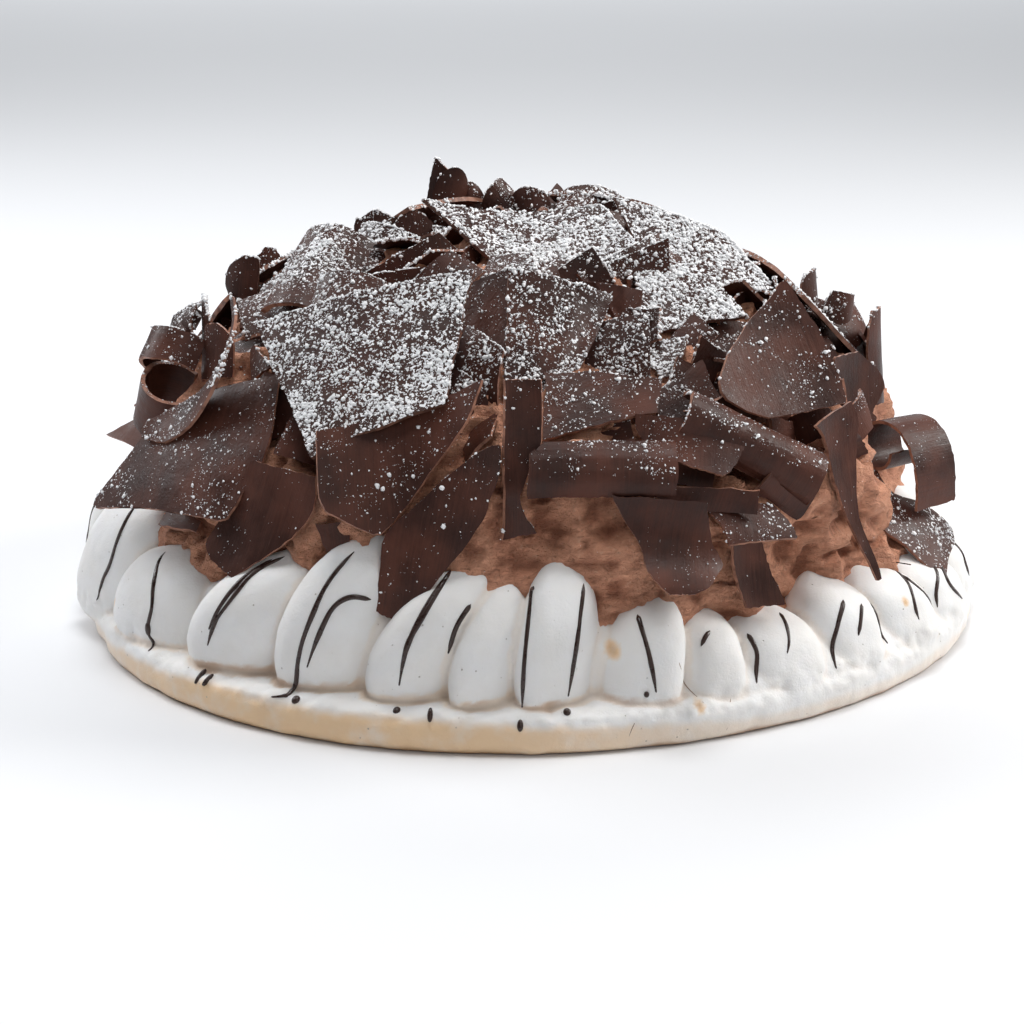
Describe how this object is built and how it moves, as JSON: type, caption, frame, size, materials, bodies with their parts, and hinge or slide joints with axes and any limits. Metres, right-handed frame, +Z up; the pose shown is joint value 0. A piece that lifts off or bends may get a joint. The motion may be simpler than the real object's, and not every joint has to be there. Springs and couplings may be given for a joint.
{
  "type": "vacherin cake",
  "caption": "Round chocolate vacherin: a piped meringue case heaped with chocolate mousse under shards, plates and curls of dark chocolate.",
  "frame": {"origin": "the middle of the bounding box, at the flat underside of the meringue that the cake rests on", "axes": "+Z up; the cake's front is -Y and +X is to its right"},
  "size_m": [0.2904, 0.2912, 0.1401],
  "materials": {
    "meringue": "matte off-white meringue, tan at the foot",
    "mousse": "soft whipped chocolate mousse",
    "chocolate": "satin dark chocolate, scraped",
    "drizzle": "glossy dark chocolate drizzle",
    "icing_sugar": "white icing sugar"
  },
  "bodies": {
    "root": {"arch_left": "chocolate", "arch_upper_left": "chocolate", "band_upper_left": "chocolate", "blade_right": "chocolate", "chip_front_right": "chocolate", "chip_left_low": "chocolate", "chocolate_mousse": "mousse", "clump_back_lower_1": "chocolate", "clump_back_lower_2": "chocolate", "clump_back_lower_3": "chocolate", "clump_back_lower_4": "chocolate", "clump_back_lower_5": "chocolate", "clump_back_middle_1": "chocolate", "clump_back_middle_2": "chocolate", "clump_back_middle_3": "chocolate", "clump_back_middle_4": "chocolate", "clump_back_upper_1": "chocolate", "clump_back_upper_2": "chocolate", "curl_front_upright": "chocolate", "curl_right_back": "chocolate", "meringue_case": "meringue", "petal_back_one": "chocolate", "petal_back_two": "chocolate", "petal_left_back": "chocolate", "petal_left_small": "chocolate", "petal_left_tall": "chocolate", "plate_back_left": "chocolate", "plate_left_low": "chocolate", "plate_low_right": "chocolate", "plate_right_back": "chocolate", "plate_right_rim": "chocolate", "plate_top": "chocolate", "plate_top_back": "chocolate", "plate_upper_left": "chocolate", "plate_upper_right": "chocolate", "ring_left": "chocolate", "ring_right": "chocolate", "roll_front": "chocolate", "roll_right_long": "chocolate", "roll_right_under": "chocolate", "roll_upper_front": "chocolate", "shard_front_right": "chocolate", "shard_left_shadow": "chocolate", "shard_low_right": "chocolate", "shard_right_middle": "chocolate", "shard_upper_dark": "chocolate", "shard_upper_front": "chocolate", "shard_upper_right": "chocolate", "slab_front_left": "chocolate", "slab_front_low": "chocolate", "slab_left": "chocolate", "slab_right_tall": "chocolate", "slab_top_right": "chocolate", "slab_upper_middle": "chocolate", "spike_top": "chocolate", "splinter_front_long": "chocolate", "strip_front_right": "chocolate", "tongue_front": "chocolate", "tongue_left_long": "chocolate", "wave_under_top": "chocolate"}
  },
  "joints": []
}
